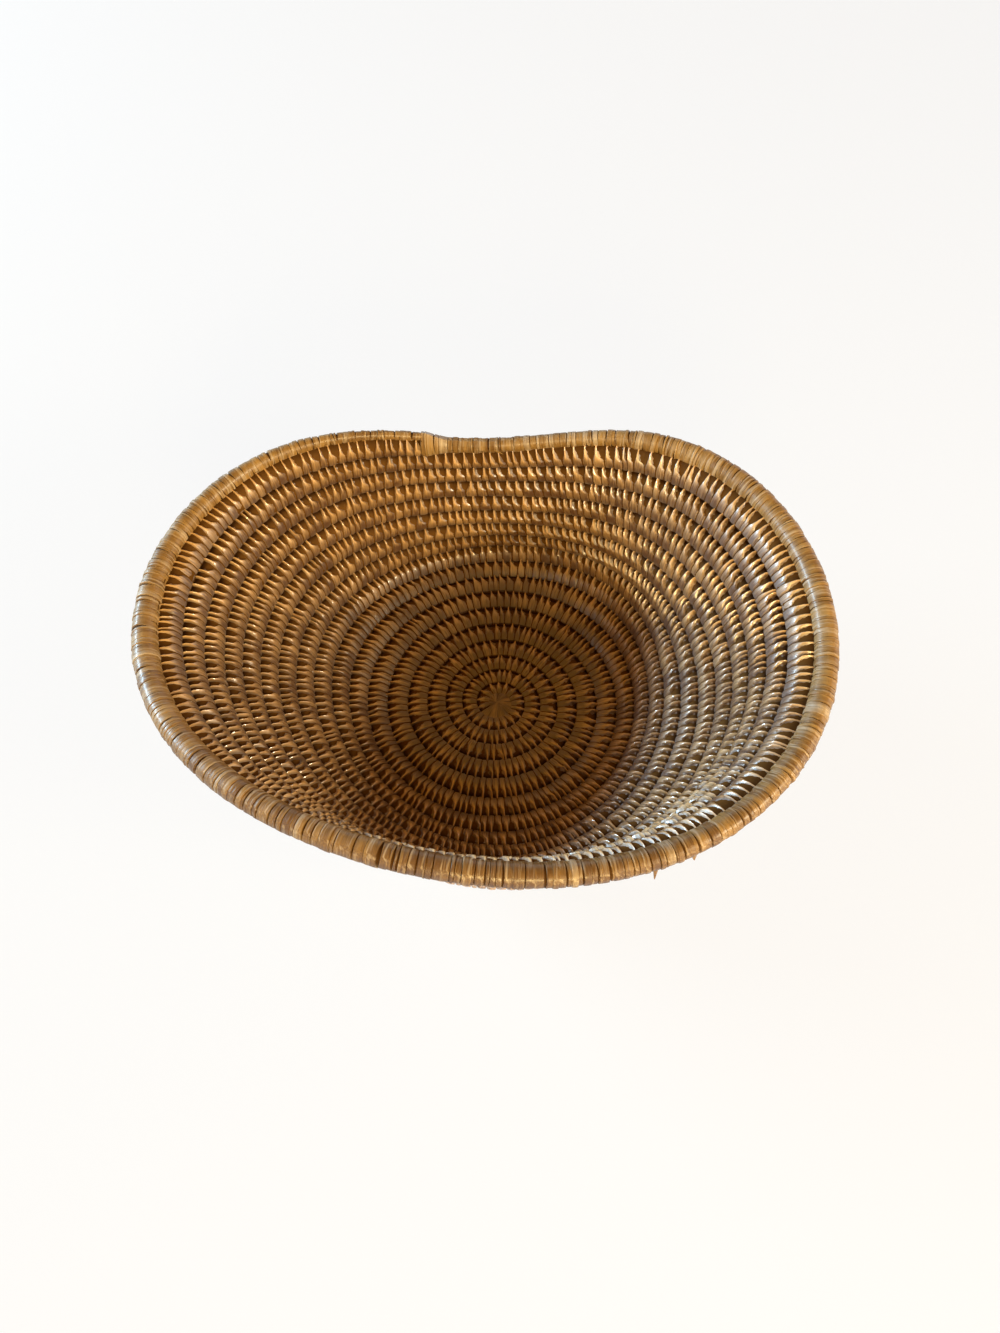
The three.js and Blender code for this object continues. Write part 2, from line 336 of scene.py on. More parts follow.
class BoundStrip:
    """One strip's windings, made straight along X round a packed rod and then bent along the coil"""

    SECTION_POINTS = 6
    SECTION_SIZE = 0.2
    RIDGE_PLACE = 2
    ROD_SIDES = 16
    RINGS_PER_TURN = 60

    def __init__(self, path, start, end, widths, stations):
        self.path = path
        turns = np.ptp(path.turn_at(np.array([start, end])))
        self.rings = math.ceil(turns * self.RINGS_PER_TURN)
        self.widths = widths * (end - start) / widths.sum()
        self.middles = start + np.cumsum(self.widths) - self.widths / 2
        self.ends = (start, end)
        self.stations = np.radians(stations)
        self.parts = []

    def wraps_mesh(self):
        """Closed rings side by side, each a small section spun round the rod."""
        bm = bmesh.new()
        bmesh.ops.create_circle(bm, segments=self.SECTION_POINTS, radius=self.SECTION_SIZE)
        bmesh.ops.translate(bm, verts=bm.verts, vec=(0, 1, 0))
        spun_round = {"cent": (0, 0, 0), "axis": (1, 0, 0), "angle": math.tau, "steps": len(self.stations)}
        bmesh.ops.spin(bm, geom=bm.verts[:] + bm.edges[:], use_merge=True, **spun_round)
        bmesh.ops.recalc_face_normals(bm, faces=bm.faces)
        ring = bm.verts[:] + bm.edges[:] + bm.faces[:]
        copies = {"cent": (0, 0, 0), "axis": (1, 0, 0), "dvec": (1, 0, 0), "steps": len(self.widths) - 1}
        bmesh.ops.spin(bm, geom=ring, use_duplicate=True, **copies)
        return bm

    def rod_mesh(self):
        """A straight closed rod, with rings close enough to bend."""
        bm = bmesh.new()
        rim = bmesh.ops.create_circle(bm, segments=self.ROD_SIDES, radius=1, cap_ends=False)["verts"]
        bmesh.ops.rotate(bm, verts=rim, matrix=Euler((0, math.pi / 2, 0)).to_matrix())
        steps = {"cent": (0, 0, 0), "axis": (1, 0, 0), "dvec": (1, 0, 0), "steps": self.rings}
        bmesh.ops.spin(bm, geom=bm.verts[:] + bm.edges[:], **steps)
        bmesh.ops.holes_fill(bm, edges=[edge for edge in bm.edges if edge.is_boundary])
        bmesh.ops.recalc_face_normals(bm, faces=bm.faces)
        return bm

    def wrap_places(self, mesh):
        """Which wrap, which place in its section and which angle round the rod each vertex has."""
        x, y, z = vertex_places(mesh).T
        wrap = np.rint(x).astype(int)
        spread = np.arctan2(x - wrap, np.hypot(y, z) - 1)
        place = np.rint(spread / (math.tau / self.SECTION_POINTS)).astype(int)
        place = (place + self.RIDGE_PLACE) % self.SECTION_POINTS
        count = len(self.stations)
        station = np.rint(np.arctan2(z, y) / (math.tau / count)).astype(int) % count
        return wrap, place, self.stations[station]

    def at_edge(self, place):
        """Whether a place is at one of a wrap's two edges."""
        return (place == 0) | (place == self.SECTION_POINTS - 1)

    def rod_places(self, mesh):
        """Length along the coil and angle round the rod of each vertex."""
        x, y, z = vertex_places(mesh).T
        turn = mix(*self.path.turn_at(np.array(self.ends)), x / x.max())
        return self.path.run_at(turn), np.arctan2(z, y)

    def lay(self, bm, shaper, finish=CANE_FINISH):
        """Bends a straight mesh along the coil and keeps it for the strip, with what its finish reads."""
        for face in bm.faces:
            face.material_index = finish
        mesh = bpy.data.meshes.new("lay")
        bm.to_mesh(mesh)
        bm.free()
        run, around, reach, facts = shaper(mesh)
        shape_mesh(mesh, self.path.bend(run, around, reach), facts)
        self.parts.append(mesh)

    def joined(self, name, materials):
        """All that was laid, as one object."""
        bm = bmesh.new()
        for part in self.parts:
            bm.from_mesh(part)
            bpy.data.meshes.remove(part)
        return finished_object(name, bm, materials)


def vertex_places(mesh):
    """Places of a mesh's vertices, one row each."""
    places = np.empty(len(mesh.vertices) * 3, np.float32)
    mesh.vertices.foreach_get("co", places)
    return places.reshape(-1, 3).astype(float)


def shape_mesh(mesh, places, facts):
    """Moves a mesh's vertices and keeps what its finish reads at each of them."""
    mesh.vertices.foreach_set("co", places.astype(np.float32).ravel())
    for name, values in facts.items():
        mesh.attributes.new(name, "FLOAT", "POINT").data.foreach_set("value", values.astype(np.float32))


SHARP_ANGLE = math.radians(40)


def finished_object(name, bm, materials):
    """An object at the origin, smooth but for its sharp edges."""
    mesh = bpy.data.meshes.new(name)
    bm.to_mesh(mesh)
    bm.free()
    mesh.shade_smooth()
    mesh.set_sharp_from_angle(angle=SHARP_ANGLE)
    for material in materials:
        mesh.materials.append(material)
    piece = bpy.data.objects.new(name, mesh)
    bpy.context.scene.collection.objects.link(piece)
    return piece


def stand_for(piece, node):
    """The piece rides on the bowl in the place of a plain node."""
    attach(piece, BODY)
    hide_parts(node)


SQUARE = 3
ROUND = 2


def row_radius(width, depth, around, power=SQUARE):
    """Distance from the middle of a flattened row to its surface."""
    up_wall = np.abs(np.cos(around)) / (width / 2)
    through = np.abs(np.sin(around)) / (depth / 2)
    return (up_wall**power + through**power) ** (-1 / power)


def scattered(scatter, count, usual, least, most):
    """Random amounts, one for each wrap."""
    return np.clip(usual * scatter.standard_normal(count), least, most)


def between(base, wall, open_part):
    """Values part of the way from those in the base to those on the wall."""
    return [mix(first, second, open_part) for first, second in zip(base, wall)]


def facing(path, turn, middle, spread):
    """One where the coil passes a direction seen from above, and less to both sides of it."""
    off = np.angle(np.exp(1j * (path.angle(turn) - middle)))
    return np.exp(-((off / spread) ** 2))


def fibre_facts(path, across, around):
    """Places across and along the fibres of a strip, in millimetres."""
    return {"fibre_u": across / MM, "fibre_v": around * path.plain_radius / MM}


# Degrees round the coil from the way up the wall: a stitch's rings, then where each change starts and ends
STITCH_STATIONS = (0, 16, 36, 58, 82, 110, 145, 200, 260, 320)
BASE_FLATTENING = (60, 120)
WALL_FLATTENING = (48, 95)
BASE_SPREAD = (28, 52)
WALL_SPREAD = (10, 58)
BASE_LOWERING = (50, 90)
WALL_LOWERING = (50, 115)
POCKET_OPENING = (2, 25)
BASE_CLOSING = (30, 66)
WALL_CLOSING = (52, 84)
# The painted shade in the recesses fades between these angles
RECESS_FADE = (8, 58)
# The row's painted shade lightens between these angles, and darkens again at its foot
ROW_LIGHTENING = (10, 60)
ROW_FOOT = (120, 170)
# The painted shade on the low side of each row grows between these angles
LOW_SIDE = (95, 160)
RIM_COVER = 45
PRESSED_COVER = 75
# The painted light under the rim reaches this far round
SHADED_COVER = 90

# Distances from the middle along the wall, where each change starts and ends
OPENING = (20 * MM, 60 * MM)
WIDENING = (15 * MM, 110 * MM)
FLAT_OUTSIDE = (50 * MM, 72 * MM)

# Values at a stitch's edge behind, near shoulder, ridge, far shoulder, foot and edge ahead
BASE_LIFTS = (0, 0.9, 1, 0.88, 0.4, 0)
WALL_LIFTS = (0, 0.9, 1, 0.85, 0.16, 0)
WRAP_LIFTS = (0, 0.75, 1, 0.85, 0.5, 0)
# Tones paint a highlight on the ridge and shade towards the foot and the edge ahead
BASE_HIGHLIGHT_AND_SHADE_TONES = (0, 1.4, 2.0, 1.4, -0.3, -0.6)
WALL_HIGHLIGHT_AND_SHADE_TONES = (0, 1.4, 2.9, 1.3, -1.0, -1.2)
# Depths paint shade at the edge behind and towards the foot and the edge ahead
BASE_PAINTED_SHADES = (0.85, 0, 0, 0, 0.05, 0.4)
WALL_PAINTED_SHADES = (0.85, 0, 0, 0, 0.28, 0.58)
FIN_SHINE = (0, 0.8, 1, 0.8, 0.1, 0)

# Sizes of the row and of a stitch on it
OUTER_SHARE = 0.65
OUTER_INSET = 0.9 * MM
TOP_REACH = 0.7 * MM
OUTER_TUCK = 0.5
SKIRT = 0.35 * MM
RIDGE_HALF = 0.2 * MM
FOOT_REACH = 0.5 * MM
NEAR_SHARE = 0.6
FAR_SHARE = 0.4
FOOT_SHARE = 0.7
EDGE_SHARE = 0.08
WRAP_FAR_SHARE = 0.2
RIM_PRESS = 0.6
LAST_ROW_FADE = 0.05
LAST_ROW_FILL = 0.8
BOUND_FADE = (-0.5 * MM, 1 * MM)
BOUND_SHRINK = 0.45

# How light, deep and shiny the stitches and the row are: painted shade in the base, on the low side, at the
# edges, in the recesses and at the row's foot, and painted light under the rim
# Painted shade: the stitches are darker in the base, deep in the bowl
BASE_PAINTED_SHADE_TONE = -0.8
WRAP_TONE = -1.2
LOW_PAINTED_SHADE_TONE = -0.8
LOW_PAINTED_SHADE = 0.55
# Painted shade at the edges between the wraps
EDGE_PAINTED_SHADE = 0.85
# Painted shade in the recesses on the wall: deeper near the top, lighter lower down
RECESS_PAINTED_SHADES = (1.5, 0.35)
# Painted light: less painted shade at the top of the last row, under the rim
FIN_PAINTED_LIGHT_UNDER_RIM = 0.6
ROW_PAINTED_LIGHT_UNDER_RIM = 0.5
# Painted shade at the row's foot
ROW_FOOT_PAINTED_SHADE = 0.6
WRAP_SHINE = 0.4
LAST_ROW_DULL = 0.6
FIBRE_STEP = 7.3 * MM

# Scatter from stitch to stitch: its usual amount, the least and the most
STITCH_WIDTHS = (0.18, -0.4, 0.4)
STITCH_HEIGHTS = (0.2, -0.4, 0.5)
STITCH_TONES = (0.45, -0.9, 0.9)

BACK = np.radians((95, 60))
SPACING_POINTS = 400


class StitchPlaces:
    """Where each vertex of a strip's stitches lies, and how flat and wide its stitch is there"""

    def __init__(self, shape, mesh):
        self.wrap, self.place, self.around = shape.strip.wrap_places(mesh)
        self.middle = shape.strip.middles[self.wrap]
        self.edge = shape.strip.at_edge(self.place)
        self.away = off_up(self.around)
        self.outside = out_of_bowl(self.around)
        self.open_part = shape.openness(self.middle)
        fin_start, fin_end = between(BASE_FLATTENING, WALL_FLATTENING, self.open_part)
        start, end = between(BASE_SPREAD, WALL_SPREAD, self.open_part)
        self.flat = self.grown(fin_start, fin_end)
        self.wide_ahead = self.grown(start, end)
        self.wide_behind = self.grown(start, mix(end, fin_end, self.open_part))

    def grown(self, start, end):
        """Grows to one between two angles, and is one outside the bowl, where the wraps are plain."""
        return mix(smooth_step(start, end, self.away), 1, self.outside)

    def pick(self, base, wall):
        """The values for each place across a stitch, from those in the base and on the wall."""
        return mix(np.choose(self.place, base), np.choose(self.place, wall), self.open_part)


class StitchShape:
    """How the stitches of one strip lie: wide round the coil, and narrowing to a fin under the next turn"""

    def __init__(self, path, binding, strip, scatter):
        count = len(strip.widths)
        self.path = path
        self.binding = binding
        self.strip = strip
        self.height = 1 + scattered(scatter, count, *STITCH_HEIGHTS)
        self.lean = binding.lean * scatter.standard_normal(count)
        self.tone = scattered(scatter, count, *STITCH_TONES)

    def openness(self, run):
        """Nothing in the base, where the stitches lie close, and one on the wall, where they stand open."""
        return smooth_step(*OPENING, self.path.girth(self.path.turn_at(run)))

    def last_row(self, run):
        """One in the last turn before the rim, and nothing elsewhere."""
        start = self.path.rim_start - 1
        return smooth_step(start - LAST_ROW_FADE, start + LAST_ROW_FADE, self.path.turn_at(run))

    def under_rim(self, run, away, cover):
        """One at the top of the last row, which goes under the rim, and nothing elsewhere."""
        return self.last_row(run) * (1 - smooth_step(0, cover, away))

    def bound_over(self, run):
        """One where the rim's first wraps bind the coil's end to this turn, and nothing elsewhere."""
        start = self.path.run_at(self.path.rim_start) - self.binding.end_bind
        return smooth_step(*BOUND_FADE, run - start)

    def top_gain(self, run, away):
        """How much higher the last row stands, up to the rim that is thin in places."""
        missing = RIM_SWELL[-1] - rim_swell(self.path, self.path.turn_at(run) + 1)
        return (TOP_REACH + missing * self.path.plain_radius) * self.under_rim(run, away, RIM_COVER)

    def pocket(self, run, away, open_part):
        """Depth of the pockets between the tips."""
        closed = smooth_step(*between(BASE_CLOSING, WALL_CLOSING, open_part), away)
        depth = mix(self.binding.base_pocket, self.binding.wall_pocket, open_part)
        filled = LAST_ROW_FILL * self.last_row(run)
        return depth * smooth_step(*POCKET_OPENING, away) * (1 - closed) * (1 - filled)

    def row_reach(self, run, around, open_part):
        """Distance from the coil's middle to the row's surface, and the row's share of its full size."""
        turn = self.path.turn_at(run)
        size = self.path.radius(turn) / self.path.plain_radius
        power = np.where(np.cos(around) > 0, SQUARE, mix(SQUARE, ROUND, open_part))
        flattened = mix(1, OUTER_SHARE, smooth_step(*FLAT_OUTSIDE, self.path.girth(turn)))
        depth = self.binding.row_depth * np.where(np.sin(around) < 0, flattened, 1)
        row = row_radius(self.binding.row_width, depth, around, power)
        return size * (row - self.pocket(run, off_up(around), open_part)), size

    def section(self, at):
        """Sideways places of a stitch's edge behind, shoulder, ridge, far shoulder, foot and edge ahead."""
        binding = self.binding
        width = self.strip.widths[at.wrap]
        shift = mix(binding.base_shift, binding.wall_shift, at.open_part) - self.lean[at.wrap]
        tip = mix(binding.base_tip, binding.wall_tip, at.open_part)
        behind = mix(-shift - tip / 2, -width / 2, at.wide_behind)
        ahead = mix(-shift + tip / 2, width / 2, at.wide_ahead)
        ridge = mix(-shift, 0, at.flat)
        near = ridge - np.minimum(RIDGE_HALF, NEAR_SHARE * (ridge - behind))
        far = ridge + np.minimum(RIDGE_HALF, FAR_SHARE * (ahead - ridge))
        foot = ridge + np.minimum(FOOT_REACH, FOOT_SHARE * (ahead - ridge))
        near = mix(near, behind + EDGE_SHARE * width, at.flat)
        far = mix(far, WRAP_FAR_SHARE * width, at.flat)
        foot = mix(foot, ahead - EDGE_SHARE * width, at.flat)
        return behind, near, ridge, far, foot, ahead

    def stitch_reach(self, at, run):
        """Distance of the stitches from the coil's middle."""
        binding = self.binding
        lift = mix(at.pick(BASE_LIFTS, WALL_LIFTS), np.choose(at.place, WRAP_LIFTS), at.flat)
        fin = mix(binding.base_fin, binding.wall_fin, at.open_part)
        lowered = smooth_step(*between(BASE_LOWERING, WALL_LOWERING, at.open_part), at.away)
        height = mix(fin, binding.wrap_height, np.maximum(at.outside, lowered))
        rise = height * self.height[at.wrap] + self.pocket(run, at.away, at.open_part)
        rise = rise * (1 - RIM_PRESS * self.under_rim(run, at.away, PRESSED_COVER))
        row, size = self.row_reach(run, at.around, at.open_part)
        gain = self.top_gain(run, at.away * (1 - OUTER_TUCK * at.outside))
        reach = row + gain + size * np.where(at.edge, -SKIRT, lift * rise)
        return reach * (1 - BOUND_SHRINK * self.bound_over(run))

    def stitch_facts(self, at, run):
        """How light, deep and shiny the stitches are, with painted highlight on the ridges and painted shade,
        and where their fibres run.
        """
        recess_shade = mix(1, mix(*RECESS_PAINTED_SHADES, smooth_step(*RECESS_FADE, at.away)), at.open_part)
        # Painted shade of the fins: at their edges and in the recesses, and less of it under the rim
        fin_shade = at.pick(BASE_PAINTED_SHADES, WALL_PAINTED_SHADES) * np.where(at.place == 0, 1, recess_shade)
        fin_shade = fin_shade * (1 - FIN_PAINTED_LIGHT_UNDER_RIM * self.under_rim(run, at.away, SHADED_COVER))
        # Painted shade on the low side of each row, on the wall inside the bowl
        low = smooth_step(*LOW_SIDE, at.away) * (1 - at.outside) * at.open_part
        wrap_shade = np.where(at.edge, EDGE_PAINTED_SHADE, LOW_PAINTED_SHADE * low)
        tone = mix(at.pick(BASE_HIGHLIGHT_AND_SHADE_TONES, WALL_HIGHLIGHT_AND_SHADE_TONES), WRAP_TONE + LOW_PAINTED_SHADE_TONE * low, at.flat)
        shine = mix(np.choose(at.place, FIN_SHINE), WRAP_SHINE, at.flat)
        return {
            "tone": self.tone[at.wrap] + tone + BASE_PAINTED_SHADE_TONE * (1 - at.open_part),
            "depth": mix(fin_shade, wrap_shade, at.flat),
            "shine": shine * (1 - LAST_ROW_DULL * self.last_row(run)),
            **fibre_facts(self.path, run - at.middle + FIBRE_STEP * at.wrap, at.around),
        }

    def stitches(self, mesh):
        at = StitchPlaces(self, mesh)
        run = at.middle + np.choose(at.place, self.section(at))
        return run, at.around, self.stitch_reach(at, run), self.stitch_facts(at, run)

    def rod(self, mesh):
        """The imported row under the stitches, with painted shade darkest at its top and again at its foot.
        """
        run, around = self.strip.rod_places(mesh)
        away = off_up(around)
        row, _ = self.row_reach(run, around, self.openness(run))
        reach = (row + self.top_gain(run, away)) * (1 - BOUND_SHRINK * self.bound_over(run))
        reach = reach - OUTER_INSET * out_of_bowl(around)
        # Painted shade on the row: darkest under the turn above, dark again at its foot, less under the rim
        light = smooth_step(*ROW_LIGHTENING, away) * (1 - ROW_FOOT_PAINTED_SHADE * smooth_step(*ROW_FOOT, away))
        depth = (1 - light) * (1 - ROW_PAINTED_LIGHT_UNDER_RIM * self.under_rim(run, away, SHADED_COVER))
        return run, around, reach, {"depth": depth, **fibre_facts(self.path, run, around)}


def stitch_spacing(path, binding, run):
    """Stitches lie closest in the base, and wider at the back of the wall than on its other sides."""
    turn = path.turn_at(run)
    on_wall = mix(binding.wall_spacing, binding.back_spacing, facing(path, turn, *BACK))
    return mix(binding.base_spacing, on_wall, smooth_step(*WIDENING, path.girth(turn)))


def stitched_strip(path, binding, start, end, seed):
    """A strip whose stitches lie wide on the coil and narrow to fins that go under the next turn."""
    scatter = np.random.default_rng(seed)
    runs = np.linspace(start, end, SPACING_POINTS)
    counted = np.concatenate([[0], np.cumsum(np.diff(runs) / stitch_spacing(path, binding, runs[1:]))])
    count = round(counted[-1])
    cuts = np.interp(np.linspace(0, counted[-1], count + 1), counted, runs)
    widths = np.diff(cuts) * (1 + scattered(scatter, count, *STITCH_WIDTHS))
    strip = BoundStrip(path, start, end, widths, STITCH_STATIONS)
    shape = StitchShape(path, binding, strip, scatter)
    strip.lay(strip.rod_mesh(), shape.rod, PACKED_FINISH)
    strip.lay(strip.wraps_mesh(), shape.stitches)
    return strip


# Share of its full size that the rim has at parts of its turn
RIM_TURNS = (0, 0.08, 0.18, 0.29, 0.42, 0.54, 0.79, 1)
RIM_SWELL = (0.58, 0.60, 0.76, 0.90, 0.76, 0.95, 1.04, 1.04)

# Sizes of the rim and of a wrap on it
RIM_STATIONS = tuple(range(0, 360, 30))
RIM_LIFTS = (0, 0.92, 1, 0.97, 0.85, 0)
WRAP_OVERLAP = 0.15 * MM
WRAP_EDGE = 0.25 * MM
CROWN_SHARE = 0.3
ROD_INSET = 0.25 * MM
SIDE_INSET = 0.45 * MM
TOP_INSET = 0.4 * MM
SEAT = 0.3 * MM
BACK_SINK = 1.3 * MM
SUNK_BACK = np.radians((66, 18))

# The end of the coil and the wraps that bind it
BOUND_SWELL = 1.06
BOUND_START = 2 * MM
END_RISE = 4.6 * MM
END_NARROWING = 6
END_SHARE = 0.75
TIP_TAPER = (-1 * MM, 6 * MM)
TIP_SHARE = 0.25

# How light, deep and worn the wraps of the rim are: painted shade at the front, in the gaps, on the outer
# side and on the rod, and pale wraps that are partly wear and partly painted sheen
PAINTED_SHADE_FRONT = np.radians((265, 40))
FRONT_PAINTED_SHADE_TONE = -1.6
# More pale wraps towards the back: partly wear, partly painted sheen
WEAR_AND_SHEEN_BACK = np.radians((68, 14))
WEAR_AND_SHEEN_SHARE = 0.09
WEAR_AND_SHEEN_BACK_SHARE = 0.35
WEAR_AND_SHEEN_PART = 0.7
GAP_PAINTED_SHADES = (0.3, 0.9)
OUTER_PAINTED_SHADE = 0.5
OUTER_FADE = (0.1, 0.9)
ROD_PAINTED_SHADE = 0.5

# Scatter from wrap to wrap: its usual amount, the least and the most
WRAP_WIDTHS = (0.45, -0.6, 1.4)
WRAP_HEIGHTS = (0.4, -0.6, 1.0)
WRAP_TONES = (0.6, -1.2, 1.2)
WRAP_LEAN = 0.3 * MM


def rim_swell(path, turn):
    """Share of its full size that the rim has at a turn."""
    return np.interp(turn - path.rim_start, RIM_TURNS, RIM_SWELL)


class WrapShape:
    """How the plain wraps of one strip of the rim lie, and how the first of them bind the coil's end"""

    def __init__(self, path, binding, strip, scatter):
        count = len(strip.widths)
        turns = path.turn_at(strip.middles)
        self.path = path
        self.binding = binding
        self.strip = strip
        self.height = 1 + scattered(scatter, count, *WRAP_HEIGHTS)
        self.lean = WRAP_LEAN * scatter.standard_normal(count)
        # Random tone for each wrap, with painted shade towards the front of the rim
        self.tone = scattered(scatter, count, *WRAP_TONES) + FRONT_PAINTED_SHADE_TONE * facing(path, turns, *PAINTED_SHADE_FRONT)
        # Painted shade in the gaps between the wraps, different for each wrap
        self.gap = mix(*GAP_PAINTED_SHADES, scatter.random(count))
        wear_and_sheen_share = WEAR_AND_SHEEN_SHARE + WEAR_AND_SHEEN_BACK_SHARE * facing(path, turns, *WEAR_AND_SHEEN_BACK)
        self.wear_and_sheen = np.where(scatter.random(count) < wear_and_sheen_share, WEAR_AND_SHEEN_PART, 0)
        self.first = path.run_at(path.rim_start)
        self.last = path.fine_lengths[-1] - END_SHARE * binding.end_bind

    def rod_reach(self, run, around):
        """The rim is thinner after the coil's end, keeps its top, and sits on the turn under it."""
        turn = self.path.turn_at(run)
        full = self.path.radius(turn)
        bound = smooth_step(self.first + BOUND_START, self.first - self.binding.end_bind, run)
        swell = mix(rim_swell(self.path, turn), BOUND_SWELL, bound)
        tip = smooth_step(*TIP_TAPER, self.last - run)
        thin = (full - SIDE_INSET) * swell * mix(TIP_SHARE, 1, tip)
        up = np.cos(around)
        top = np.maximum(up, 0)
        lifted = thin + np.maximum(full - TOP_INSET - thin, 0) * up * tip
        lifted = lifted - BACK_SINK * facing(self.path, turn, *SUNK_BACK) * top
        power = np.where(np.sin(around) > 0, SQUARE, ROUND)
        seated = row_radius(2 * (thin + SEAT), 2 * thin, around, power)
        return np.where(up > 0, lifted, seated) + END_RISE * bound * top**END_NARROWING

    def wraps(self, mesh):
        wrap, place, around = self.strip.wrap_places(mesh)
        middle = self.strip.middles[wrap]
        edge = self.strip.at_edge(place)
        half = self.strip.widths[wrap] / 2 + WRAP_OVERLAP
        inset = half - WRAP_EDGE
        crown = CROWN_SHARE * inset
        aside = np.choose(place, [-half, -inset, -crown, crown, inset, half])
        run = np.minimum(middle + aside + self.lean[wrap] * np.cos(around), self.last)
        rise = np.choose(place, RIM_LIFTS) * self.binding.rim_height * self.height[wrap]
        reach = self.rod_reach(run, around) + np.where(edge, -SKIRT, rise)
        # Painted shade on the rim's outer side
        outer_shade = OUTER_PAINTED_SHADE * smooth_step(*OUTER_FADE, -np.sin(around))
        facts = {
            "tone": self.tone[wrap],
            "depth": np.maximum(np.where(edge, self.gap[wrap], 0), outer_shade),
            "wear_and_sheen": self.wear_and_sheen[wrap],
            **fibre_facts(self.path, run - middle + FIBRE_STEP * wrap, around),
        }
        return run, around, reach, facts

    def rod(self, mesh):
        run, around = self.strip.rod_places(mesh)
        run = np.minimum(run, self.last)
        # Painted shade on the rod that shows between the wraps
        facts = {"depth": np.full_like(run, ROD_PAINTED_SHADE), **fibre_facts(self.path, run, around)}
        return run, around, self.rod_reach(run, around) - ROD_INSET, facts


STRAND_SIDES = 6
STRAND_TIP = 0.15
STRAND_THICKNESS = 0.3
LOOSE_STRANDS = (
    {"angle": 91, "around": 50, "ahead": 3.4, "turned": 80, "out": 1.0, "width": 0.8, "tone": 1.6},
    {"angle": 302, "around": 264, "ahead": 0.2, "turned": -4, "out": 3.0, "width": 1.5, "tone": -0.5},
    {"angle": 295.5, "around": 264, "ahead": 0.9, "turned": -4, "out": 4.0, "width": 1.0, "tone": -0.5},
)


def loose_strand(strip, shape, strand):
    """A strand's loose end, if it starts in this strip: a thin cone from the rim's surface out to a point."""
    path = strip.path
    past_start = np.degrees(path.angle(path.rim_start)) - strand["angle"]
    start = path.run_at(path.rim_start + past_start % 360 / 360)
    if not strip.ends[0] <= start < strip.ends[1]:
        return
    bm = bmesh.new()
    ends = {"radius1": 1, "radius2": STRAND_TIP, "depth": 1}
    bmesh.ops.create_cone(bm, cap_ends=True, segments=STRAND_SIDES, **ends)

    def shape_strand(mesh):
        u, v, part = vertex_places(mesh).T
        part = part + 0.5
        width = strand["width"] * MM
        run = start + part * strand["ahead"] * MM + u * width
        around = np.radians(strand["around"] + part * strand["turned"]) + v * width / path.plain_radius
        reach = shape.rod_reach(run, around) + part * strand["out"] * MM + STRAND_THICKNESS * v * width
        facts = {"tone": np.full_like(run, strand["tone"]), "fibre_u": u, "fibre_v": part}
        return run, around, reach, facts

    strip.lay(bm, shape_strand)


def wrapped_strip(path, binding, start, end, seed):
    """A strip of the rim: plain wraps of uneven width, side by side."""
    scatter = np.random.default_rng(seed)
    if start <= path.run_at(path.rim_start):
        start -= binding.end_bind
    count = round((end - start) / binding.rim_wrap)
    widths = binding.rim_wrap * (1 + scattered(scatter, count, *WRAP_WIDTHS))
    strip = BoundStrip(path, start, end, widths, RIM_STATIONS)
    shape = WrapShape(path, binding, strip, scatter)
    strip.lay(strip.rod_mesh(), shape.rod, PACKED_FINISH)
    strip.lay(strip.wraps_mesh(), shape.wraps)
    for strand in LOOSE_STRANDS:
        loose_strand(strip, shape, strand)
    return strip


class Value:
    """A shader socket. An expression on it adds Math nodes."""

    def __init__(self, nodes, socket):
        self.nodes = nodes
        self.socket = socket

    def maths(self, operation, first, second):
        inputs = {"Value": first, "Value_001": second}
        return self.nodes.node("ShaderNodeMath", {"operation": operation}, inputs)

    def __add__(self, other):
        return self.maths("ADD", self, other)

    def __radd__(self, other):
        return self.maths("ADD", other, self)

    def __sub__(self, other):
        return self.maths("SUBTRACT", self, other)

    def __rsub__(self, other):
        return self.maths("SUBTRACT", other, self)

    def __mul__(self, other):
        return self.maths("MULTIPLY", self, other)

    def __rmul__(self, other):
        return self.maths("MULTIPLY", other, self)


class Nodes:
    """The nodes of a material or of the world"""

    def __init__(self, owner):
        owner.use_nodes = True
        self.owner = owner
        self.tree = owner.node_tree
        self.tree.nodes.clear()

    def node(self, kind, settings=None, inputs=None, output=""):
        """A node with its settings made first, then its sockets set or linked."""
        made = self.tree.nodes.new(kind)
        for name, value in (settings or {}).items():
            setattr(made, name, value)
        for key, value in (inputs or {}).items():
            socket = next(each for each in made.inputs if key in (each.identifier, each.name))
            if isinstance(value, Value):
                self.tree.links.new(value.socket, socket)
            else:
                socket.default_value = value
        found = [each for each in made.outputs if output in ("", each.identifier, each.name)]
        return Value(self, found[0] if found else None)

    def attribute(self, name):
        return self.node("ShaderNodeAttribute", {"attribute_name": name}, output="Fac")

    def noise(self, vector, scale, detail):
        return self.node("ShaderNodeTexNoise", {}, {"Vector": vector, "Scale": scale, "Detail": detail})

    def stretched_noise(self, across, along, detail):
        """Noise over two values, such as fibres along a strip."""
        place = self.node("ShaderNodeCombineXYZ", {}, {"X": across, "Y": along})
        return self.noise(place, 1.0, detail)

    def bump(self, height, strength, distance):
        inputs = {"Strength": strength, "Distance": distance, "Height": height}
        return self.node("ShaderNodeBump", {}, inputs)

    def clamp(self, value):
        return self.node("ShaderNodeClamp", {}, {"Value": value})

    def mix_colour(self, part, first, second):
        inputs = {"Factor_Float": part, "A_Color": first, "B_Color": second}
        return self.node("ShaderNodeMix", {"data_type": "RGBA"}, inputs, output="Result_Color")

    def surface(self, base, roughness, normal, **constants):
        inputs = {"Base Color": base, "Roughness": roughness, "Normal": normal, **constants}
        shader = self.node("ShaderNodeBsdfPrincipled", {}, inputs)
        self.node("ShaderNodeOutputMaterial", {}, {"Surface": shader})
        return self.owner


def opaque(shade):
    """A colour with its alpha."""
    return (*shade, 1)


